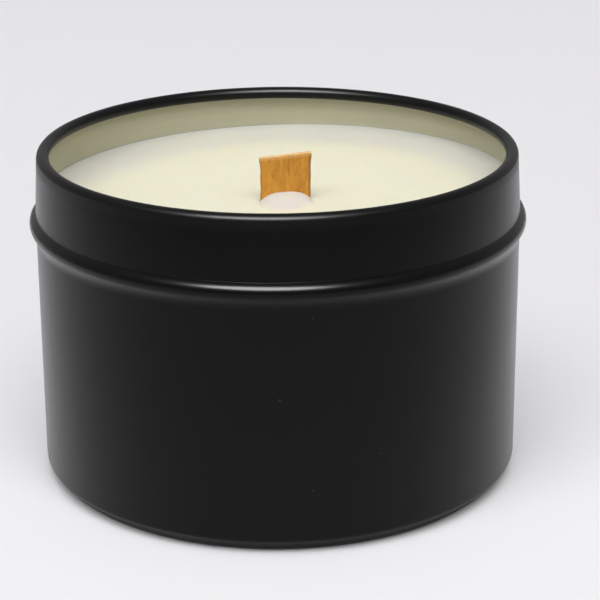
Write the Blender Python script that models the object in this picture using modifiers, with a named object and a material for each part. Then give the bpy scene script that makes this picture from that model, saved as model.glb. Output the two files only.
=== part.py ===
"""A drawn, open candle tin holding poured wax and one flat wooden wick.

Metres, +Z up. The origin is the centre of the base, on the surface that the tin stands on.
The tin, the wax, the wick, its metal clip and the foam sticker below it are separate pieces.
"""

import math

import bmesh
import bpy

# Driving dimensions of the tin.
TIN_HEIGHT = 0.0530
SHEET = 0.0003
BODY_RADIUS = 0.0385
RIM_RADIUS = 0.0380
CURL_RADIUS = 0.0010
CURL_STEP = math.radians(22.5)
CURL_STEPS = 13

# The base corner: a short straight chamfer between two tight rounds.
CORNER_HEIGHT = 0.0025
CORNER_ROUND = 0.0008
CORNER_TURN = math.radians(42)
FOOT_RADIUS = (
    BODY_RADIUS - CORNER_ROUND - (CORNER_HEIGHT - CORNER_ROUND) * math.tan(CORNER_TURN)
)

# The stop bead: a round bulge pressed out of the wall, creased above and blended below.
BEAD_HEIGHT = 0.0416
BEAD_DEPTH = 0.0010
BEAD_ROUND = 0.00165
CREASE_ROUND = 0.0003
BLEND_ROUND = 0.0030
BULGE_CENTRE = BODY_RADIUS + BEAD_DEPTH - BEAD_ROUND

# The wax: a nearly flat pool that climbs the wall a little, set on a slight slope.
WAX_LEVEL = 0.04455
WAX_CLIMB = 0.0014
CLIMB_WIDTH = 0.0065
WAX_SLOPE = 0.0233
SLOPE_ANGLE = math.atan(WAX_SLOPE)

# The wick assembly, in its own frame: width along X, thickness along Y.
WICK_X = 0.0012
WICK_Y = -0.0030
WICK_TURN = math.radians(5)
WICK_WIDTH = 0.0083
WICK_THICK = 0.0010
WICK_TOP = 0.05207
WICK_TOP_RISE = 0.00076
STICKER_RADIUS = 0.0095
STICKER_THICK = 0.0010
CLIP_RADIUS = 0.0100
CLIP_SHEET = 0.0003
FINGER_WIDTH = 0.0026
FINGER_HEIGHT = 0.0060
FINGER_OFFSET = 0.0024

GAP = 0.0003
AROUND = 64

# Heights stacked up from the inside of the base.
FLOOR = SHEET + GAP
CLIP_BOTTOM = FLOOR + STICKER_THICK + GAP
CLIP_TOP = CLIP_BOTTOM + CLIP_SHEET
WICK_BOTTOM = CLIP_TOP + GAP
FINGER_FACE = WICK_THICK / 2 + GAP
FINGER_TOP = CLIP_TOP + FINGER_HEIGHT


def clear_scene():
    for found in list(bpy.data.objects):
        bpy.data.objects.remove(found, do_unlink=True)


def new_collection(name):
    made = bpy.data.collections.new(name)
    bpy.context.scene.collection.children.link(made)
    return made


def new_material(name, colour, roughness, metallic):
    made = bpy.data.materials.new(name)
    made.use_nodes = True
    shader = made.node_tree.nodes["Principled BSDF"]
    shader.inputs["Base Color"].default_value = (*colour, 1)
    shader.inputs["Roughness"].default_value = roughness
    shader.inputs["Metallic"].default_value = metallic
    made.diffuse_color = (*colour, 1)
    return made


def new_empty(name, collection, parent=None):
    made = bpy.data.objects.new(name, None)
    made.empty_display_size = 0.01
    made.parent = parent
    collection.objects.link(made)
    return made


def new_object(name, mesh, collection, parent, material=None):
    made = bpy.data.objects.new(name, mesh)
    made.parent = parent
    collection.objects.link(made)
    if material:
        mesh.materials.append(material)
    return made


def as_cutter(made):
    made.hide_render = True
    made.display_type = "WIRE"
    return made


def arc(centre, radius, start, end, segments):
    """Points of an arc in the (radius, height) plane, both ends included."""
    step = (end - start) / segments
    angles = [start + step * i for i in range(segments + 1)]
    return [(centre[0] + radius * math.cos(a), centre[1] + radius * math.sin(a)) for a in angles]


def spread(start, end, segments):
    return [start + (end - start) * i / segments for i in range(segments + 1)]


def fillet_reach(radius):
    """How far above or below the bead's crest a fillet of this radius meets the wall."""
    return math.sqrt((BEAD_ROUND + radius) ** 2 - (BODY_RADIUS + radius - BULGE_CENTRE) ** 2)


def fillet_turn(radius):
    """Where on the bulge, as an angle from the level, a fillet of this radius meets it."""
    return math.atan2(fillet_reach(radius), BODY_RADIUS + radius - BULGE_CENTRE)


def neck_radius(height):
    """Outside radius of the neck, which narrows from the bead up to the rim's curl."""
    neck_start = BEAD_HEIGHT + fillet_reach(CREASE_ROUND)
    neck_end = TIN_HEIGHT - CURL_RADIUS
    share = (height - neck_start) / (neck_end - neck_start)
    return BODY_RADIUS + (RIM_RADIUS - BODY_RADIUS) * share


def bead_points(inset=0):
    """The profile down over the bead, moved this far into the metal."""
    above = (BODY_RADIUS + CREASE_ROUND, BEAD_HEIGHT + fillet_reach(CREASE_ROUND))
    below = (BODY_RADIUS + BLEND_ROUND, BEAD_HEIGHT - fillet_reach(BLEND_ROUND))
    start = fillet_turn(CREASE_ROUND)
    end = fillet_turn(BLEND_ROUND)
    points = arc(above, CREASE_ROUND + inset, math.pi, math.pi + start, 3)
    points += arc((BULGE_CENTRE, BEAD_HEIGHT), BEAD_ROUND - inset, start, 0, 6)[1:]
    points += arc((BULGE_CENTRE, BEAD_HEIGHT), BEAD_ROUND - inset, 0, -end, 4)[1:]
    points += arc(below, BLEND_ROUND + inset, math.pi - end, math.pi, 4)[1:]
    return points


def corner_points(inset=0):
    """The profile round the base corner and in to the flat base, moved into the metal."""
    upper = (BODY_RADIUS - CORNER_ROUND, CORNER_HEIGHT)
    lower = (FOOT_RADIUS, CORNER_ROUND)
    points = arc(upper, CORNER_ROUND - inset, 0, -CORNER_TURN, 3)
    points += arc(lower, CORNER_ROUND - inset, -CORNER_TURN, -math.pi / 2, 3)
    return points


def turned(name, points, collection, parent, material=None):
    """A profile in the (radius, height) plane, turned about Z by a Screw modifier."""
    mesh = bpy.data.meshes.new(name)
    shape = bmesh.new()
    verts = [shape.verts.new((radius, 0, height)) for radius, height in points]
    for first, second in zip(verts, verts[1:]):
        shape.edges.new((first, second))
    shape.to_mesh(mesh)
    shape.free()
    made = new_object(name, mesh, collection, parent, material)
    screw = made.modifiers.new("turn", "SCREW")
    screw.axis = "Z"
    screw.steps = AROUND
    screw.render_steps = AROUND
    screw.use_merge_vertices = True
    screw.merge_threshold = 0.00001
    screw.use_smooth_shade = True
    return made


def block(name, size, centre, collection, parent, material=None):
    mesh = bpy.data.meshes.new(name)
    shape = bmesh.new()
    bmesh.ops.create_cube(shape, size=1)
    bmesh.ops.scale(shape, vec=size, verts=shape.verts)
    bmesh.ops.translate(shape, vec=centre, verts=shape.verts)
    shape.to_mesh(mesh)
    shape.free()
    return new_object(name, mesh, collection, parent, material)


def disc(name, radius, bottom, top, collection, parent, material=None):
    mesh = bpy.data.meshes.new(name)
    shape = bmesh.new()
    bmesh.ops.create_cone(
        shape, cap_ends=True, segments=AROUND, radius1=radius, radius2=radius, depth=top - bottom
    )
    bmesh.ops.translate(shape, vec=(0, 0, (top + bottom) / 2), verts=shape.verts)
    shape.to_mesh(mesh)
    shape.free()
    made = new_object(name, mesh, collection, parent, material)
    mesh.shade_smooth()
    mesh.set_sharp_from_angle(angle=math.radians(30))
    return made


def combine(target, operation, other):
    made = target.modifiers.new(f"{operation.lower()}_{other.name}", "BOOLEAN")
    made.operation = operation
    made.solver = "EXACT"
    made.object = other


def make_tin(parts, root):
    """The one-piece drawn cup: curled rim, neck, stop bead, body and base in one sheet."""
    curl_centre = (RIM_RADIUS - CURL_RADIUS, TIN_HEIGHT - CURL_RADIUS)
    outside = arc(curl_centre, CURL_RADIUS, CURL_STEP * CURL_STEPS, 0, CURL_STEPS)
    outside += bead_points()
    outside += corner_points()
    outside += [(0, 0)]
    black = new_material("black_lacquer", (0.014, 0.014, 0.016), 0.42, 0.0)
    tin = turned("tin_body", outside, parts, root, black)
    sheet = tin.modifiers.new("sheet", "SOLIDIFY")
    sheet.thickness = SHEET
    sheet.offset = -1
    sheet.use_even_offset = True
    return tin


def make_surface_cutter(cutters, root):
    """All the space above the wax: its underside is the dished, slightly sloping surface."""
    outer = BODY_RADIUS + 0.004
    foot = neck_radius(WAX_LEVEL) - FLOOR - CLIMB_WIDTH
    rise = [
        (radius, WAX_CLIMB * ((radius - foot) / CLIMB_WIDTH) ** 2)
        for radius in spread(outer, foot, 8)
    ]
    points = [(0, 2 * TIN_HEIGHT - WAX_LEVEL), (outer, 2 * TIN_HEIGHT - WAX_LEVEL)]
    points += rise + [(0, 0)]
    cutter = as_cutter(turned("wax_surface_cutter", points, cutters, root))
    cutter.location.z = WAX_LEVEL
    cutter.rotation_euler.y = -SLOPE_ANGLE
    return cutter


def make_wax(parts, cutters, root, wick_frame):
    """The poured wax, clear of the tin, and open round the wick, the clip and the sticker."""
    brim = TIN_HEIGHT - 3 * CURL_RADIUS
    outside = [(0, brim), (neck_radius(brim) - FLOOR, brim)]
    outside += bead_points(FLOOR)
    outside += corner_points(FLOOR)
    outside += [(0, FLOOR)]
    cream = new_material("cream_wax", (0.85, 0.80, 0.62), 0.45, 0.0)
    wax = turned("wax_fill", outside, parts, root, cream)

    below = -0.002
    above = TIN_HEIGHT + 0.002
    slot_size = (WICK_WIDTH + 2 * GAP, WICK_THICK + 2 * GAP, above - below)
    finger_reach = 2 * FINGER_OFFSET + FINGER_WIDTH + 2 * GAP
    finger_depth = 2 * (FINGER_FACE + CLIP_SHEET + GAP)
    finger_tall = FINGER_TOP + GAP - below
    surface = make_surface_cutter(cutters, root)
    slot = block(
        "wick_slot_cutter", slot_size, (0, 0, (above + below) / 2), cutters, wick_frame
    )
    fingers = block(
        "finger_pocket_cutter",
        (finger_reach, finger_depth, finger_tall),
        (0, 0, below + finger_tall / 2),
        cutters,
        wick_frame,
    )
    pocket = disc(
        "clip_pocket_cutter", CLIP_RADIUS + GAP, below, CLIP_TOP + GAP, cutters, wick_frame
    )
    for cutter in (surface, slot, fingers, pocket):
        combine(wax, "DIFFERENCE", as_cutter(cutter))
    return wax


def make_wick(parts, wick_frame):
    """The flat strip of wood, its top cut slightly out of square."""
    wood = new_material("wick_wood", (0.56, 0.30, 0.07), 0.75, 0.0)
    tall = WICK_TOP - WICK_BOTTOM
    centre = (0, 0, WICK_BOTTOM + tall / 2)
    wick = block("wooden_wick", (WICK_WIDTH, WICK_THICK, tall), centre, parts, wick_frame, wood)
    for vertex in wick.data.vertices:
        if vertex.co.z > centre[2]:
            vertex.co.z += WICK_TOP_RISE * vertex.co.x / WICK_WIDTH
    return wick


def make_clip(parts, cutters, wick_frame):
    """The pressed sustainer: a round plate with four fingers that stand up beside the strip."""
    steel = new_material("clip_steel", (0.62, 0.61, 0.58), 0.35, 1.0)
    clip = disc("wick_clip", CLIP_RADIUS, CLIP_BOTTOM, CLIP_TOP, parts, wick_frame, steel)
    bottom = CLIP_BOTTOM + CLIP_SHEET / 3
    size = (FINGER_WIDTH, CLIP_SHEET, FINGER_TOP - bottom)
    for side, face in (("front", -1), ("back", 1)):
        for end, along in (("left", -1), ("right", 1)):
            centre = (
                along * FINGER_OFFSET,
                face * (FINGER_FACE + CLIP_SHEET / 2),
                (FINGER_TOP + bottom) / 2,
            )
            finger = block(f"finger_{side}_{end}", size, centre, cutters, wick_frame)
            combine(clip, "UNION", as_cutter(finger))
    return clip


def make_sticker(parts, wick_frame):
    """The round foam pad that glues the clip to the base."""
    foam = new_material("sticker_foam", (0.80, 0.80, 0.78), 0.90, 0.0)
    return disc(
        "wick_sticker", STICKER_RADIUS, FLOOR, FLOOR + STICKER_THICK, parts, wick_frame, foam
    )


def main():
    clear_scene()
    parts = new_collection("candle_tin")
    cutters = new_collection("candle_tin_cutters")
    root = new_empty("candle_tin_root", parts)
    wick_frame = new_empty("wick_frame", parts, root)
    wick_frame.location = (WICK_X, WICK_Y, 0)
    wick_frame.rotation_euler.z = WICK_TURN
    make_tin(parts, root)
    make_wax(parts, cutters, root, wick_frame)
    make_wick(parts, wick_frame)
    make_clip(parts, cutters, wick_frame)
    make_sticker(parts, wick_frame)


main()
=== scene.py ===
import math

import bmesh
import bpy
from mathutils import Euler, Matrix, Vector, noise


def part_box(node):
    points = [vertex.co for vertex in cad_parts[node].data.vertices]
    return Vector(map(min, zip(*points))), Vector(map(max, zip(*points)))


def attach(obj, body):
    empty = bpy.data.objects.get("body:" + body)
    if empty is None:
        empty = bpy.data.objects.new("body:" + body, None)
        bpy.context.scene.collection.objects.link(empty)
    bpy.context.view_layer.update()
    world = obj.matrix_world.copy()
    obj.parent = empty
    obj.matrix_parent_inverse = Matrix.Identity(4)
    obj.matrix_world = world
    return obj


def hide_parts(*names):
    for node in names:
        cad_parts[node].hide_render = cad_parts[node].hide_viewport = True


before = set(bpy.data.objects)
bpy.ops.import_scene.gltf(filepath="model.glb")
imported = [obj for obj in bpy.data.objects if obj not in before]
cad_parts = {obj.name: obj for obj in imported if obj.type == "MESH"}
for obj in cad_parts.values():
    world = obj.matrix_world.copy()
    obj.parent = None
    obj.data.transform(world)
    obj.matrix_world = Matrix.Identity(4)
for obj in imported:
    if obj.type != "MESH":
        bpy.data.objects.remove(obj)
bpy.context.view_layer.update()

mm = 0.001
commonNoise = (0.3, 0.7)  # most of a noise texture's values lie between these

# What the tin, the wax and the wick share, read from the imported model.
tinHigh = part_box("tin_body")[1]
wickLow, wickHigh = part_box("wooden_wick")
tinHeight = tinHigh.z
beadRadius = tinHigh.x
wickCentre = (wickLow + wickHigh) / 2


def startMesh():
    return bmesh.new()


def boxShape(size, height=0):
    # a box on the Z axis with its middle at this height
    shape = startMesh()
    bmesh.ops.create_cube(shape, size=1)
    bmesh.ops.scale(shape, vec=size, verts=shape.verts)
    bmesh.ops.translate(shape, vec=(0, 0, height), verts=shape.verts)
    return shape


def smoothMesh(mesh, sharpAngle):
    mesh.shade_smooth()
    mesh.set_sharp_from_angle(angle=math.radians(sharpAngle))


def finishMesh(name, shape, materials, sharpAngle=40):
    mesh = bpy.data.meshes.new(name)
    shape.to_mesh(mesh)
    shape.free()
    for material in materials:
        mesh.materials.append(material)
    smoothMesh(mesh, sharpAngle)
    piece = bpy.data.objects.new(name, mesh)
    bpy.context.scene.collection.objects.link(piece)
    return piece


def ownPiece(piece, slotName, *cadNodes):
    # the finished piece stands for its plain solids and moves with the only body
    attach(piece, "root")
    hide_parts(*cadNodes)


def spread(start, end, parts):
    return [start + (end - start) * i / parts for i in range(parts + 1)]


def arcPoints(centre, radius, startAngle, endAngle, parts):
    return [(centre[0] + radius * math.cos(a), centre[1] + radius * math.sin(a))
            for a in spread(startAngle, endAngle, parts)]


def smoothShare(value, start, end):
    share = min(max((value - start) / (end - start), 0), 1)
    return share * share * (3 - 2 * share)


def newMaterial(name):
    material = bpy.data.materials.new(name)
    material.use_nodes = True
    return material, material.node_tree.nodes["Principled BSDF"]


def setSockets(node, values):
    for socket, value in values.items():
        node.inputs[socket].default_value = value


def addNode(material, kind, inputs=None, **settings):
    made = material.node_tree.nodes.new(kind)
    for setting, value in settings.items():
        setattr(made, setting, value)
    for socket, value in (inputs or {}).items():
        if isinstance(value, bpy.types.NodeSocket):
            material.node_tree.links.new(value, made.inputs[socket])
        else:
            made.inputs[socket].default_value = value
    return made


def join(material, output, node, socket):
    material.node_tree.links.new(output, node.inputs[socket])


def objectPlace(material, scale=(1, 1, 1), location=(0, 0, 0)):
    # object coordinates in metres, stretched and then shifted by a Mapping node
    place = addNode(material, "ShaderNodeTexCoord").outputs["Object"]
    return addNode(material, "ShaderNodeMapping", {
        "Vector": place, "Location": location, "Scale": scale,
    }).outputs["Vector"]


def axesOf(material, vector):
    return addNode(material, "ShaderNodeSeparateXYZ", {"Vector": vector}).outputs


def lengthOf(material, vector):
    return addNode(material, "ShaderNodeVectorMath", {0: vector}, operation="LENGTH").outputs["Value"]


def noiseAt(material, place, scale, detail=3, roughness=0.5, distortion=0):
    return addNode(material, "ShaderNodeTexNoise", {
        "Vector": place, "Scale": scale, "Detail": detail, "Roughness": roughness,
        "Distortion": distortion,
    }).outputs["Fac"]


def remap(material, value, fromLow, fromHigh, toLow=0, toHigh=1, smooth=False):
    return addNode(material, "ShaderNodeMapRange", {
        "Value": value, "From Min": fromLow, "From Max": fromHigh,
        "To Min": toLow, "To Max": toHigh,
    }, interpolation_type="SMOOTHSTEP" if smooth else "LINEAR").outputs["Result"]


def blendColour(material, share, first, second):
    # a Mix node's colour sockets share their names with others, so they go by number
    made = addNode(material, "ShaderNodeMix", data_type="RGBA")
    for socket, value in ((made.inputs[0], share), (made.inputs[6], first), (made.inputs[7], second)):
        if isinstance(value, bpy.types.NodeSocket):
            material.node_tree.links.new(value, socket)
        else:
            socket.default_value = value if isinstance(value, (int, float)) else (*value, 1)
    return made.outputs[2]


def calculate(material, operation, first, second):
    return addNode(material, "ShaderNodeMath", {0: first, 1: second}, operation=operation).outputs[0]


def addBump(material, shader, height, depth, strength):
    made = addNode(material, "ShaderNodeBump", {
        "Height": height, "Distance": depth, "Strength": strength,
    })
    join(material, made.outputs["Normal"], shader, "Normal")


# The wax is a poured pool that climbs the wall, with a small mound before the wick.
wax = {
    "level": 44.55 * mm,
    "slope": 0.0233,
    "wallClimb": 1.4 * mm,
    "climbWidth": 6.5 * mm,
    "climbPower": 2.3,
    "clearance": 0.05 * mm,
    "collarHeight": 0.08 * mm,
    "collarReach": 0.4 * mm,
    "moundHeight": 1.42 * mm,
    "moundHalfWidth": 4.15 * mm,
    "moundSquareness": 3,
    "moundReach": 3.2 * mm,
    "ripple": 0.05 * mm,
    "rippleScale": 90,
    "rippleSlice": 1.7,
    "stillEdge": 2 * mm,
    "gridCells": 110,
    "fineReach": 8.5 * mm,
    "fineCuts": 3,
    "sharpAngle": 50,
    "slotTuck": 0.1 * mm,
    "fingerPocket": (7.6 * mm, 2.5 * mm),
    "pocketClearance": 0.1 * mm,
    "plateReach": 0.5 * mm,
    "plateParts": 64,
    "creamDark": (0.822, 0.794, 0.600),
    "creamLight": (0.853, 0.827, 0.642),
    # painted shade: greyer rings toward the wall and against it, where the walls shade the pool
    "frostColour": (0.705, 0.690, 0.605),
    "frostEdges": (27 * mm, 36 * mm),
    "rindColour": (0.665, 0.650, 0.580),
    "rindEdges": (35.6 * mm, 38.0 * mm),
    "raggedness": 1.5 * mm,
    "moundColour": (0.745, 0.700, 0.640),
    "moundColourEdges": (5.2 * mm, 2.8 * mm),
    "moundColourBefore": 1.5 * mm,
    "cloudScale": 70,
    "grainScale": 500,
    "grainDepth": 0.02 * mm,
    "grainStrength": 0.5,
    "roughness": 0.50,
    "ior": 1.43,
    "specular": 0.15,
    "glowShare": 0.35,
    "glowRadius": (1.0, 0.75, 0.45),
    "glowDepth": 2.5 * mm,
}

# The tin is one drawn sheet, black outside and olive lacquer inside.
tin = {
    "sheet": 0.3 * mm,
    "beadHeight": 41.6 * mm,
    "beadDepth": 1.0 * mm,
    "beadRound": 1.65 * mm,
    "creaseRound": 0.03 * mm,
    "blendRound": 3.0 * mm,
    "rimTaper": 0.5 * mm,
    "curlRound": 1.0 * mm,
    "curlSweep": 292.5,
    "cornerHeight": 2.5 * mm,
    "cornerRound": 0.8 * mm,
    "cornerTurn": 42,
    "curlParts": 26,
    "creaseParts": 3,
    "bulgeParts": 10,
    "blendParts": 4,
    "cornerParts": 3,
    "fineness": 2,
    "wallRings": 6,
    "baseRings": 3,
    "around": 192,
    "mergeDistance": 0.001 * mm,
    "blackDark": (0.0003, 0.0003, 0.0004),
    "blackLight": (0.0009, 0.0008, 0.0010),
    "blackCloudScale": 60,
    "blackIor": 1.4,
    "blackFacing": 0.47,
    "blackRoughness": 0.26,
    "rimRoughness": 0.36,
    "rimWornFrom": 2.6 * mm,
    "rimWornTo": 1.6 * mm,
    "roughnessWander": 0.02,
    "peelScale": 900,
    "peelDepth": 0.002 * mm,
    "peelStrength": 0.6,
    "dustColour": (0.035, 0.035, 0.034),
    "dustScale": 400,
    "dustEdges": (0.045, 0.075),
    "dustPick": (0.86, 0.93),
    "oliveDark": (0.466, 0.452, 0.326),
    "oliveLight": (0.506, 0.492, 0.361),
    "oliveCloudScale": 90,
    "oliveRoughness": 0.50,
    "oliveIor": 1.4,
    "oliveSpecular": 0.10,
    "drawnColour": (0.423, 0.402, 0.283),
    "drawnScale": (40, 40, 900),
    "drawnNoise": (0.35, 0.65),
    "drawnShare": 0.3,
    "drawnDepth": 0.004 * mm,
    "drawnStrength": 0.4,
    "smearColour": (0.60, 0.585, 0.500),
    "smearHeight": 0.8 * mm,
    "smearShare": 0.18,
    "smearScale": 260,
    "smearWander": 0.25 * mm,
}
bodyRadius = beadRadius - tin["beadDepth"]
rimRadius = bodyRadius - tin["rimTaper"]
bulgeCentre = beadRadius - tin["beadRound"]
cornerTurn = math.radians(tin["cornerTurn"])
cornerDrop = tin["cornerHeight"] - tin["cornerRound"]
footRadius = bodyRadius - tin["cornerRound"] - cornerDrop * math.tan(cornerTurn)


def filletReach(radius):
    # how far above or below the bead's crest a fillet of this radius meets the wall
    across = bodyRadius + radius - bulgeCentre
    return math.sqrt((tin["beadRound"] + radius) ** 2 - across ** 2)


def filletTurn(radius):
    return math.atan2(filletReach(radius), bodyRadius + radius - bulgeCentre)


def neckRadius(height):
    # outside radius of the neck, which narrows from the bead up to the curl
    start = tin["beadHeight"] + filletReach(tin["creaseRound"])
    end = tinHeight - tin["curlRound"]
    return bodyRadius + (rimRadius - bodyRadius) * (height - start) / (end - start)


def beadProfile(inset, fineness):
    # down over the bead, moved this far into the metal
    crease, blend = tin["creaseRound"], tin["blendRound"]
    above = (bodyRadius + crease, tin["beadHeight"] + filletReach(crease))
    below = (bodyRadius + blend, tin["beadHeight"] - filletReach(blend))
    bulge = (bulgeCentre, tin["beadHeight"])
    start, end = filletTurn(crease), filletTurn(blend)
    profile = arcPoints(above, crease + inset, math.pi, math.pi + start,
                        tin["creaseParts"] * fineness)
    profile += arcPoints(bulge, tin["beadRound"] - inset, start, -end,
                         tin["bulgeParts"] * fineness)[1:]
    profile += arcPoints(below, blend + inset, math.pi - end, math.pi,
                         tin["blendParts"] * fineness)[1:]
    return profile


def cornerProfile(inset, fineness):
    # round the base corner, down its short chamfer and in to the flat base
    upper = (bodyRadius - tin["cornerRound"], tin["cornerHeight"])
    lower = (footRadius, tin["cornerRound"])
    turn = tin["cornerRound"] - inset
    parts = tin["cornerParts"] * fineness
    profile = arcPoints(upper, turn, 0, -cornerTurn, parts)
    return profile + arcPoints(lower, turn, -cornerTurn, -math.pi / 2, parts)


def blackLacquer():
    material, shader = newMaterial("blackLacquer")
    place = objectPlace(material)
    cloud = noiseAt(material, place, tin["blackCloudScale"], detail=4)
    black = blendColour(material, cloud, tin["blackDark"], tin["blackLight"])
    # a little dust: dots at the middles of a few picked cells
    dust = addNode(material, "ShaderNodeTexVoronoi", {"Vector": place, "Scale": tin["dustScale"]})
    near = remap(material, dust.outputs["Distance"], *tin["dustEdges"], 1, 0)
    picked = addNode(material, "ShaderNodeSeparateColor", {"Color": dust.outputs["Color"]})
    kept = remap(material, picked.outputs["Red"], *tin["dustPick"])
    speck = calculate(material, "MULTIPLY", near, kept)
    join(material, blendColour(material, speck, black, tin["dustColour"]), shader, "Base Color")
    # the lid has rubbed the curled rim a little duller
    rough = remap(material, axesOf(material, place)["Z"], tinHeight - tin["rimWornFrom"],
                  tinHeight - tin["rimWornTo"], tin["blackRoughness"], tin["rimRoughness"])
    worn = remap(material, cloud, *commonNoise, -tin["roughnessWander"], tin["roughnessWander"])
    join(material, calculate(material, "ADD", rough, worn), shader, "Roughness")
    # darker face-on than bare gloss, and as bright as it along the edges
    facing = tin["blackFacing"]
    setSockets(shader, {"IOR": tin["blackIor"], "Specular Tint": (facing, facing, facing, 1)})
    peel = noiseAt(material, place, tin["peelScale"], detail=2)
    addBump(material, shader, peel, tin["peelDepth"], tin["peelStrength"])
    return material


def oliveLacquer():
    material, shader = newMaterial("oliveLacquer")
    place = objectPlace(material)
    cloud = noiseAt(material, place, tin["oliveCloudScale"])
    olive = blendColour(material, cloud, tin["oliveDark"], tin["oliveLight"])
    # faint level streaks from the drawing
    drawn = noiseAt(material, objectPlace(material, scale=tin["drawnScale"]), 1)
    streaked = remap(material, drawn, *tin["drawnNoise"], 0, tin["drawnShare"])
    olive = blendColour(material, streaked, olive, tin["drawnColour"])
    # a thin smear of wax whitens the wall just above the sloping pool
    axes = axesOf(material, place)
    fall = calculate(material, "MULTIPLY", axes["X"], -wax["slope"])
    height = calculate(material, "ADD", axes["Z"], fall)
    wander = remap(material, noiseAt(material, place, tin["smearScale"]), *commonNoise,
                   -tin["smearWander"], tin["smearWander"])
    height = calculate(material, "ADD", height, wander)
    waxEdge = wax["level"] + wax["wallClimb"]
    smear = remap(material, height, waxEdge + tin["smearHeight"], waxEdge, 0, tin["smearShare"],
                  smooth=True)
    join(material, blendColour(material, smear, olive, tin["smearColour"]), shader, "Base Color")
    setSockets(shader, {
        "Roughness": tin["oliveRoughness"], "IOR": tin["oliveIor"],
        "Specular IOR Level": tin["oliveSpecular"],
    })
    addBump(material, shader, drawn, tin["drawnDepth"], tin["drawnStrength"])
    return material


def makeTin():
    curl = (rimRadius - tin["curlRound"], tinHeight - tin["curlRound"])
    profile = arcPoints(curl, tin["curlRound"], math.radians(tin["curlSweep"]), 0, tin["curlParts"])
    profile += beadProfile(0, tin["fineness"])
    wallTop = profile[-1][1]
    profile += [(bodyRadius, height)
                for height in spread(wallTop, tin["cornerHeight"], tin["wallRings"])[1:-1]]
    profile += cornerProfile(0, tin["fineness"])
    profile += [(radius, 0) for radius in spread(footRadius, 0, tin["baseRings"])[1:]]
    shape = startMesh()
    verts = [shape.verts.new((radius, 0, height)) for radius, height in profile]
    edges = [shape.edges.new(pair) for pair in zip(verts, verts[1:])]
    bmesh.ops.spin(shape, geom=verts + edges, cent=(0, 0, 0), axis=(0, 0, 1), dvec=(0, 0, 0),
                   angle=2 * math.pi, steps=tin["around"], use_merge=True)
    bmesh.ops.remove_doubles(shape, verts=shape.verts, dist=tin["mergeDistance"])
    bmesh.ops.recalc_face_normals(shape, faces=shape.faces)
    # the skin is open at the curl, so the base shows whether it came out turned inwards
    base = min(shape.faces, key=lambda face: face.calc_center_median().z)
    if base.normal.z > 0:
        bmesh.ops.reverse_faces(shape, faces=shape.faces)
    piece = finishMesh("tinShell", shape, [blackLacquer(), oliveLacquer()])
    wall = piece.modifiers.new("sheet", "SOLIDIFY")
    wall.thickness = tin["sheet"]
    wall.offset = -1
    wall.use_even_offset = True
    wall.material_offset = 1
    wall.material_offset_rim = 0
    flatten = piece.modifiers.new("flatWalls", "WEIGHTED_NORMAL")
    flatten.keep_sharp = True
    ownPiece(piece, "black_lacquer", "tin_body")


print("stage: tin")
makeTin()


# The wick is a thin strip of sawn wood.
wick = {
    "width": 8.3 * mm,
    "thickness": 1.0 * mm,
    "turn": 5,
    "topRise": 0.76 * mm,
    "bevel": 0.07 * mm,
    "relief": 0.03 * mm,
    "reliefScale": (2600, 130),
    "reliefMiddle": 0.5,
    "reliefSlice": 7,
    "edgeWander": 0.12 * mm,
    "edgeScale": (50, 420),
    "edgeMiddle": 0.4,
    "edgeSlice": 3.1,
    "waist": 0.17 * mm,
    "waistFrom": 0.3 * mm,
    "waistTo": 1.6 * mm,
    "topWander": 0.12 * mm,
    "topScale": (1300, 900),
    "topMiddle": 0.6,
    "topSlice": 5,
    "topBand": 0.05 * mm,
    "cutsAcross": 22,
    "cutReach": 0.46,
    "cutDepth": 0.2 * mm,
    "footCuts": 8,
    "footMargin": 2 * mm,
    "footReach": 10 * mm,
    "fineCuts": 24,
    "fineFrom": 9.6 * mm,
    "fineTo": 0.2 * mm,
    "cutTolerance": 0.0001 * mm,
    "bevelParts": 2,
    "bevelAngle": 50,
    "woodDark": (0.490, 0.203, 0.021),
    "woodLight": (0.665, 0.333, 0.056),
    "streakScale": (1100, 1100, 260),
    "streakNoise": (0.34, 0.66),
    "streakDistortion": 0.8,
    "woodNoiseRoughness": 0.6,
    "patchColour": (0.655, 0.283, 0.035),
    "patchScale": 420,
    "patchNoise": (0.44, 0.62),
    "patchShare": 0.6,
    "poreColour": (0.360, 0.140, 0.016),
    "poreScale": (4200, 4200, 1100),
    "poreNoise": (0.56, 0.74),
    "poreShare": 0.5,
    "sideColour": (0.235, 0.095, 0.018),
    "sideFrom": 0.60 * mm,
    "sideTo": 0.15 * mm,
    "sideShift": 0.15 * mm,
    "sideShare": 0.7,
    "frayedColour": (0.800, 0.480, 0.200),
    "frayedFrom": 0.75 * mm,
    "frayedTo": 0.25 * mm,
    "frayedShare": 0.5,
    "endGrainColour": (0.830, 0.540, 0.250),
    "endGrainFacing": (0.35, 0.85),
    "roughness": 0.75,
    "specular": 0.08,
    "grainDepth": 0.05 * mm,
    "grainStrength": 0.6,
}
wickTurn = math.radians(wick["turn"])
wickPlace = (Matrix.Translation((wickCentre.x, wickCentre.y, 0))
             @ Matrix.Rotation(wickTurn, 4, "Z"))
wickTop = wickHigh.z - wick["topRise"] / 2  # at the middle of the slanted cut


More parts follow.
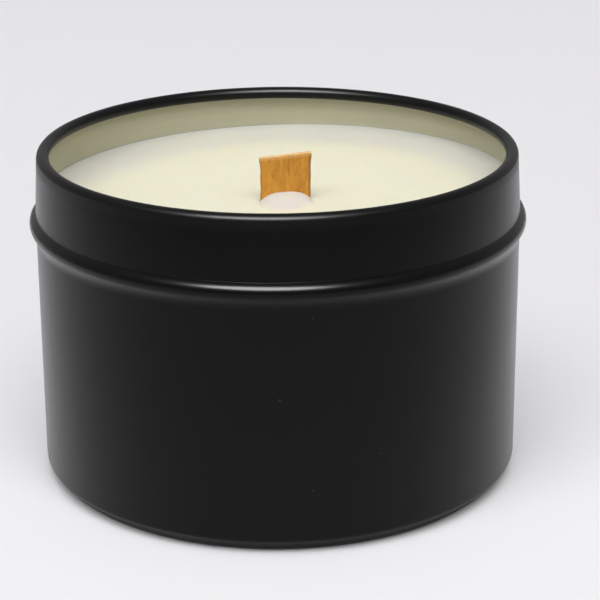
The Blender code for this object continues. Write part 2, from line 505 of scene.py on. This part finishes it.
def wickWood():
    material, shader = newMaterial("wickWood")
    # the strip's own frame, which the grain follows
    texture = addNode(material, "ShaderNodeTexCoord")
    local = addNode(material, "ShaderNodeMapping", {
        "Vector": texture.outputs["Object"], "Location": (wickCentre.x, wickCentre.y, 0),
        "Rotation": (0, 0, wickTurn),
    }, vector_type="TEXTURE").outputs["Vector"]
    long = addNode(material, "ShaderNodeMapping", {"Vector": local, "Scale": wick["streakScale"]})
    fine = addNode(material, "ShaderNodeMapping", {"Vector": local, "Scale": wick["poreScale"]})
    streaks = noiseAt(material, long.outputs["Vector"], 1, roughness=wick["woodNoiseRoughness"],
                      distortion=wick["streakDistortion"])
    patches = noiseAt(material, local, wick["patchScale"], roughness=wick["woodNoiseRoughness"])
    pores = noiseAt(material, fine.outputs["Vector"], 1, detail=2)
    wood = blendColour(material, remap(material, streaks, *wick["streakNoise"]),
                       wick["woodDark"], wick["woodLight"])
    wood = blendColour(material, remap(material, patches, *wick["patchNoise"], 0, wick["patchShare"]),
                       wood, wick["patchColour"])
    wood = blendColour(material, remap(material, pores, *wick["poreNoise"], 0, wick["poreShare"]),
                       wood, wick["poreColour"])
    # darker along the side edges, more on the right, and the frayed top and its end grain are paler
    axes = axesOf(material, local)
    shifted = calculate(material, "ADD", axes["X"], wick["sideShift"])
    across = calculate(material, "ABSOLUTE", shifted, 0)
    half = wick["width"] / 2
    side = remap(material, across, half - wick["sideFrom"], half - wick["sideTo"],
                 0, wick["sideShare"], smooth=True)
    wood = blendColour(material, side, wood, wick["sideColour"])
    lean = calculate(material, "MULTIPLY", axes["X"], -wick["topRise"] / wick["width"])
    frayed = remap(material, calculate(material, "ADD", axes["Z"], lean),
                   wickTop - wick["frayedFrom"], wickTop - wick["frayedTo"],
                   0, wick["frayedShare"], smooth=True)
    wood = blendColour(material, frayed, wood, wick["frayedColour"])
    upward = axesOf(material, texture.outputs["Normal"])["Z"]
    wood = blendColour(material, remap(material, upward, *wick["endGrainFacing"]), wood,
                       wick["endGrainColour"])
    join(material, wood, shader, "Base Color")
    setSockets(shader, {"Roughness": wick["roughness"], "Specular IOR Level": wick["specular"]})
    addBump(material, shader, streaks, wick["grainDepth"], wick["grainStrength"])
    return material


def roughenWick(vertex, bottom):
    # a vertex on a side edge, a face or the top moves a little, as on sawn wood
    x, y, z = vertex.co
    onSurface = 0.49  # this share of a size from the middle is as good as outside
    if abs(x) > onSurface * wick["width"]:
        scale = wick["edgeScale"]
        wander = noise.noise(Vector((x * scale[0], wick["edgeSlice"], z * scale[1])))
        # the strip is a little narrower below its top
        waist = wick["waist"] * smoothShare(wickTop - z, wick["waistFrom"], wick["waistTo"])
        wander = wick["edgeWander"] * (wander - wick["edgeMiddle"])
        vertex.co.x += math.copysign(1, x) * (wander - waist)
    if abs(y) > onSurface * wick["thickness"]:
        scale = wick["reliefScale"]
        side = math.copysign(wick["reliefSlice"], y)
        relief = noise.noise(Vector((x * scale[0], side, z * scale[1])))
        vertex.co.y += math.copysign(wick["relief"], y) * (relief - wick["reliefMiddle"])
    if z > wickTop - wick["topBand"]:
        scale = wick["topScale"]
        wander = noise.noise(Vector((x * scale[0], y * scale[1], wick["topSlice"])))
        vertex.co.z += wick["topWander"] * (wander - wick["topMiddle"])
    # the cut slants, and the foot stays level
    vertex.co.z += wick["topRise"] * x / wick["width"] * (z - bottom) / (wickTop - bottom)


def makeWick():
    bottom = wickLow.z
    tall = wickTop - bottom
    shape = boxShape((wick["width"], wick["thickness"], tall), bottom + tall / 2)
    # planes that cut the strip finely enough to be roughened, finest above the wax
    reach = wick["cutReach"] * wick["width"]
    heights = spread(bottom + wick["footMargin"], wickTop - wick["footReach"], wick["footCuts"])
    heights += spread(wickTop - wick["fineFrom"], wickTop - wick["fineTo"], wick["fineCuts"])
    cuts = [((x, 0, 0), (1, 0, 0)) for x in spread(-reach, reach, wick["cutsAcross"])]
    cuts += [((0, 0, z), (0, 0, 1)) for z in heights]
    cuts += [((0, y, 0), (0, 1, 0)) for y in (-wick["cutDepth"], wick["cutDepth"])]
    for point, normal in cuts:
        bmesh.ops.bisect_plane(shape, geom=shape.verts[:] + shape.edges[:] + shape.faces[:],
                               dist=wick["cutTolerance"], plane_co=point, plane_no=normal)
    for vertex in shape.verts:
        roughenWick(vertex, bottom)
    bmesh.ops.recalc_face_normals(shape, faces=shape.faces)
    shape.transform(wickPlace)
    piece = finishMesh("woodenWick", shape, [wickWood()])
    soften = piece.modifiers.new("soften", "BEVEL")
    soften.width = wick["bevel"]
    soften.segments = wick["bevelParts"]
    soften.limit_method = "ANGLE"
    soften.angle_limit = math.radians(wick["bevelAngle"])
    ownPiece(piece, "wick_wood", "wooden_wick")


print("stage: wick")
makeWick()


waxInset = tin["sheet"] + wax["clearance"]
waxWall = neckRadius(wax["level"] + wax["wallClimb"]) - waxInset


def waxHeight(x, y):
    # height of the wax surface over a point of the plan
    radius = math.hypot(x, y)
    foot = waxWall - wax["climbWidth"]
    climb = max(radius - foot, 0) / wax["climbWidth"]
    height = wax["level"] + wax["slope"] * x + wax["wallClimb"] * climb ** wax["climbPower"]
    # a thin collar round the wick, and the mound on its near side
    local = wickPlace.inverted() @ Vector((x, y, 0))
    beside = max(abs(local.x) - wick["width"] / 2, 0)
    before = max(abs(local.y) - wick["thickness"] / 2, 0)
    height += wax["collarHeight"] * math.exp(-math.hypot(beside, before) / wax["collarReach"])
    if local.y < 0:
        across = max(1 - abs(local.x / wax["moundHalfWidth"]) ** wax["moundSquareness"], 0)
        height += wax["moundHeight"] * across * math.exp(-(before / wax["moundReach"]) ** 2)
    scale = wax["rippleScale"]
    still = 1 - smoothShare(radius, waxWall - wax["stillEdge"], waxWall)
    ripple = noise.noise(Vector((x * scale, y * scale, wax["rippleSlice"])))
    return height + wax["ripple"] * still * ripple


def creamWax():
    material, shader = newMaterial("creamWax")
    place = objectPlace(material)
    cloud = noiseAt(material, place, wax["cloudScale"], detail=4, roughness=0.55)
    cream = blendColour(material, cloud, wax["creamDark"], wax["creamLight"])
    # painted shade: the pool is painted greyer toward the wall and darker still against it, in ragged
    # rings, where the walls shade it
    radius = lengthOf(material, objectPlace(material, scale=(1, 1, 0)))
    wander = remap(material, cloud, *commonNoise, -wax["raggedness"], wax["raggedness"])
    ragged = calculate(material, "ADD", radius, wander)
    for name in ("frost", "rind"):
        ring = remap(material, ragged, *wax[name + "Edges"], smooth=True)
        cream = blendColour(material, ring, cream, wax[name + "Colour"])
    fromMound = lengthOf(material, objectPlace(material, scale=(1, 1, 0), location=(
        -wickCentre.x, wax["moundColourBefore"] - wickCentre.y, 0)))
    mound = remap(material, fromMound, *wax["moundColourEdges"], smooth=True)
    join(material, blendColour(material, mound, cream, wax["moundColour"]), shader, "Base Color")
    setSockets(shader, {
        "Roughness": wax["roughness"], "IOR": wax["ior"], "Specular IOR Level": wax["specular"],
        "Subsurface Weight": wax["glowShare"], "Subsurface Radius": wax["glowRadius"],
        "Subsurface Scale": wax["glowDepth"],
    })
    grain = noiseAt(material, place, wax["grainScale"])
    addBump(material, shader, grain, wax["grainDepth"], wax["grainStrength"])
    return material


def cutterFrom(name, shape):
    shape.transform(wickPlace)
    cutter = finishMesh(name, shape, [])
    cutter.display_type = "WIRE"
    cutter.hide_render = True
    return cutter


def wickCutters():
    # the slot that the strip fills, and the pocket round the clip and the sticker
    clipLow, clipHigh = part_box("wick_clip")
    clearance = wax["pocketClearance"]
    slot = boxShape((wick["width"] - wax["slotTuck"], wick["thickness"] - wax["slotTuck"],
                     2 * tinHeight), tinHeight / 2)
    fingers = boxShape((*wax["fingerPocket"], 2 * (clipHigh.z + clearance)))
    clipRadius = (clipHigh.x - clipLow.x) / 2 + clearance
    plate = startMesh()
    bmesh.ops.create_cone(plate, cap_ends=True, segments=wax["plateParts"], radius1=clipRadius,
                          radius2=clipRadius, depth=2 * (clipLow.z + wax["plateReach"]))
    return [cutterFrom("slotCutter", slot), cutterFrom("fingerCutter", fingers),
            cutterFrom("plateCutter", plate)]


def makeWax():
    shape = startMesh()
    cells = wax["gridCells"]
    bmesh.ops.create_grid(shape, x_segments=cells, y_segments=cells, size=1)
    # the square grid is drawn in to a disc
    for vertex in shape.verts:
        x, y = vertex.co.x, vertex.co.y
        vertex.co.x = waxWall * x * math.sqrt(1 - y * y / 2)
        vertex.co.y = waxWall * y * math.sqrt(1 - x * x / 2)
    near = [edge for edge in shape.edges
            if all(math.hypot(v.co.x - wickCentre.x, v.co.y - wickCentre.y) < wax["fineReach"]
                   for v in edge.verts)]
    bmesh.ops.subdivide_edges(shape, edges=near, cuts=wax["fineCuts"], use_grid_fill=True)
    for vertex in shape.verts:
        vertex.co.z = waxHeight(vertex.co.x, vertex.co.y)
    # its edge is drawn down the inside of the tin, ring by ring, and closed below
    loop = [edge for edge in shape.edges if edge.is_boundary]
    for radius, height in beadProfile(waxInset, 1) + cornerProfile(waxInset, 1):
        grown = bmesh.ops.extrude_edge_only(shape, edges=loop)["geom"]
        loop = [item for item in grown if isinstance(item, bmesh.types.BMEdge)]
        for vertex in {v for edge in loop for v in edge.verts}:
            angle = math.atan2(vertex.co.y, vertex.co.x)
            vertex.co = (radius * math.cos(angle), radius * math.sin(angle), height)
        loop = [edge for edge in loop if edge.is_boundary]
    bmesh.ops.contextual_create(shape, geom=loop)
    bmesh.ops.recalc_face_normals(shape, faces=shape.faces)
    piece = finishMesh("waxPool", shape, [creamWax()], wax["sharpAngle"])
    cutters = wickCutters()
    for cutter in cutters:
        cut = piece.modifiers.new(cutter.name, "BOOLEAN")
        cut.operation = "DIFFERENCE"
        cut.solver = "EXACT"
        cut.object = cutter
    # the cuts are made for good, so that the cutters can go
    bpy.context.view_layer.update()
    finished = bpy.data.meshes.new_from_object(
        piece.evaluated_get(bpy.context.evaluated_depsgraph_get()))
    piece.modifiers.clear()
    piece.data = finished
    finished.name = "waxPool"
    smoothMesh(finished, wax["sharpAngle"])
    for cutter in cutters:
        bpy.data.objects.remove(cutter)
    ownPiece(piece, "cream_wax", "wax_fill")


print("stage: wax")
makeWax()


# The clip and the sticker under the wax keep their solids and get a real finish.
clip = {
    "steelDark": (0.52, 0.51, 0.49),
    "steelLight": (0.68, 0.67, 0.64),
    "brushScale": (2500, 120, 120),
    "roughnessRange": (0.28, 0.42),
}
sticker = {
    "foamDark": (0.72, 0.72, 0.70),
    "foamLight": (0.84, 0.84, 0.82),
    "cellScale": 2200,
    "cellDepth": 0.1 * mm,
    "cellStrength": 0.5,
    "roughness": 0.9,
}


def clipSteel():
    material, shader = newMaterial("clipSteel")
    brushed = noiseAt(material, objectPlace(material, scale=clip["brushScale"]), 1)
    steel = blendColour(material, brushed, clip["steelDark"], clip["steelLight"])
    join(material, steel, shader, "Base Color")
    setSockets(shader, {"Metallic": 1.0})
    rough = remap(material, brushed, *commonNoise, *clip["roughnessRange"])
    join(material, rough, shader, "Roughness")
    return material


def stickerFoam():
    material, shader = newMaterial("stickerFoam")
    cells = addNode(material, "ShaderNodeTexVoronoi", {
        "Vector": objectPlace(material), "Scale": sticker["cellScale"]}).outputs["Distance"]
    foam = blendColour(material, cells, sticker["foamDark"], sticker["foamLight"])
    join(material, foam, shader, "Base Color")
    setSockets(shader, {"Roughness": sticker["roughness"]})
    addBump(material, shader, cells, sticker["cellDepth"], sticker["cellStrength"])
    return material


def refinish(nodeName, material):
    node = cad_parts[nodeName]
    if not node.material_slots:
        node.data.materials.append(material)
    for materialSlot in node.material_slots:
        materialSlot.material = material


print("stage: clip and sticker")
refinish("wick_clip", clipSteel())
refinish("wick_sticker", stickerFoam())


# The floor, the light and the camera.
stage = {
    "floorRadius": 3.0,
    "floorParts": 96,
    "floorColour": (0.80, 0.795, 0.81),
    # painted light: the floor is painted paler in a pool round the tin
    "paintedLightPoolNearColour": (0.925, 0.915, 0.930),
    "paintedLightPoolNear": 44 * mm,
    "paintedLightPoolFar": 112 * mm,
    "floorRoughness": 0.9,
    "skyColour": (0.80, 0.80, 0.815),
    "skyLow": 0.32,
    "skyHigh": 0.885,
    "skyRise": (0.2, 0.9),
    "backdrop": 0.92,
    "glossSky": 0.48,
    "glossFront": 0.20,
    "glossTurn": (-0.5, -0.95),
    "keyDistance": 3.0,
    "keyElevation": 57,
    "keyAzimuth": -7,
    "keySize": (4.6, 1.9),
    "keyPower": 70.5,
    "sheenDistance": 2.0,
    "sheenElevation": 47,
    "sheenAzimuth": -9,
    "sheenSize": (1.8, 1.1),
    "sheenPower": 185.0,
    "paperCentre": 25 * mm,
    "paperStart": 170 * mm,
    "paperEnd": 425 * mm,
    "roomGlow": 0.25,
    "roomReach": 1.6,
    "roomHeight": 0.5 * mm,
    # a painted contact shadow round the tin's foot, seen only in the gloss
    "contactShadowStart": 37.5 * mm,
    "contactShadowEnd": 39.2 * mm,
    "contactShadowCover": 0.5,
}
camera = {
    "place": (0, -315.27 * mm, 140.37 * mm),
    "down": 0.34613,  # the three angles are in radians
    "right": 0.01083,
    "roll": -0.00604,
    "lens": 123.75,
    "sensor": 36,
    "nearest": 0.01,
    "farthest": 20,
}


def makeFloor():
    shape = startMesh()
    bmesh.ops.create_circle(shape, cap_ends=True, segments=stage["floorParts"],
                            radius=stage["floorRadius"])
    material, shader = newMaterial("paleFloor")
    # painted light: a pool of paler colour painted on the floor round the tin, against the shade the
    # tin casts
    away = lengthOf(material, objectPlace(material))
    near = remap(material, away, stage["paintedLightPoolFar"], stage["paintedLightPoolNear"], smooth=True)
    paper = blendColour(material, near, stage["floorColour"], stage["paintedLightPoolNearColour"])
    join(material, paper, shader, "Base Color")
    setSockets(shader, {"Roughness": stage["floorRoughness"], "Specular IOR Level": 0.0})
    floor = finishMesh("floor", shape, [material])


def makeDarkRoom():
    # only the gloss sees this sheet: a painted reflection of the pale paper fading into a darker room
    # all round, and a painted contact shadow where the tin stands on it
    shape = startMesh()
    bmesh.ops.create_grid(shape, x_segments=1, y_segments=1, size=stage["roomReach"])
    bmesh.ops.translate(shape, vec=(0, 0, stage["roomHeight"]), verts=shape.verts)
    material, shader = newMaterial("darkRoom")
    fromPaper = lengthOf(material, objectPlace(material, location=(0, -stage["paperCentre"], 0)))
    fromTin = lengthOf(material, objectPlace(material))
    far = remap(material, fromPaper, stage["paperStart"], stage["paperEnd"])
    # painted contact shadow under the tin's foot
    contactShadow = remap(material, fromTin, stage["contactShadowEnd"], stage["contactShadowStart"],
                    0, stage["contactShadowCover"], smooth=True)
    join(material, calculate(material, "MAXIMUM", far, contactShadow), shader, "Alpha")
    glow = calculate(material, "MULTIPLY", far, stage["roomGlow"])
    join(material, glow, shader, "Emission Strength")
    setSockets(shader, {
        "Base Color": (0, 0, 0, 1), "Specular IOR Level": 0.0, "Emission Color": (1, 1, 1, 1),
    })
    room = finishMesh("darkRoom", shape, [material])
    room.visible_camera = False
    room.visible_diffuse = False
    room.visible_transmission = False
    room.visible_shadow = False


def makeSky():
    # brighter overhead than at the sides, dim in the gloss before the table, and
    # one pale backdrop for a camera that looks past the floor
    world = bpy.data.worlds.new("studio")
    world.use_nodes = True
    background = world.node_tree.nodes["Background"]
    setSockets(background, {"Color": (*stage["skyColour"], 1)})
    way = axesOf(world, addNode(world, "ShaderNodeTexCoord").outputs["Generated"])
    soft = remap(world, way["Z"], *stage["skyRise"], stage["skyLow"], stage["skyHigh"])
    gloss = remap(world, way["Y"], *stage["glossTurn"], stage["glossSky"], stage["glossFront"])
    rays = addNode(world, "ShaderNodeLightPath").outputs
    lit = addNode(world, "ShaderNodeMix", {0: rays["Is Glossy Ray"], 2: soft, 3: gloss})
    strength = addNode(world, "ShaderNodeMix", {
        0: rays["Is Camera Ray"], 2: lit.outputs[0], 3: stage["backdrop"]})
    join(world, strength.outputs[0], background, "Strength")
    bpy.context.scene.world = world


def makeSoftbox(name):
    # azimuth is counted from the viewer's side, positive to the right
    azimuth = math.radians(stage[name + "Azimuth"])
    elevation = math.radians(stage[name + "Elevation"])
    outward = Vector((math.sin(azimuth) * math.cos(elevation),
                      -math.cos(azimuth) * math.cos(elevation), math.sin(elevation)))
    lamp = bpy.data.lights.new(name + "Light", "AREA")
    lamp.shape = "ELLIPSE"
    lamp.size, lamp.size_y = stage[name + "Size"]
    lamp.energy = stage[name + "Power"]
    holder = bpy.data.objects.new(name + "Light", lamp)
    holder.location = Vector((0, 0, tinHeight)) + outward * stage[name + "Distance"]
    holder.rotation_euler = outward.to_track_quat("Z", "Y").to_euler()
    holder.visible_camera = False
    bpy.context.scene.collection.objects.link(holder)
    return holder


def makeCamera():
    data = bpy.data.cameras.new("camera")
    data.lens = camera["lens"]
    data.sensor_width = camera["sensor"]
    data.clip_start = camera["nearest"]
    data.clip_end = camera["farthest"]
    holder = bpy.data.objects.new("camera", data)
    aim = Euler((math.pi / 2 - camera["down"], 0, -camera["right"]))
    turn = aim.to_matrix() @ Matrix.Rotation(camera["roll"], 3, "Z")
    holder.location = camera["place"]
    holder.rotation_euler = turn.to_euler()
    bpy.context.scene.collection.objects.link(holder)
    bpy.context.scene.camera = holder


print("stage: floor, light and camera")
makeFloor()
makeDarkRoom()
makeSky()
makeSoftbox("key").visible_glossy = False  # lights the wax and the floor
makeSoftbox("sheen").visible_diffuse = False  # is only seen in the gloss
makeCamera()
bpy.context.scene.view_settings.view_transform = "Standard"

print("stage: done")
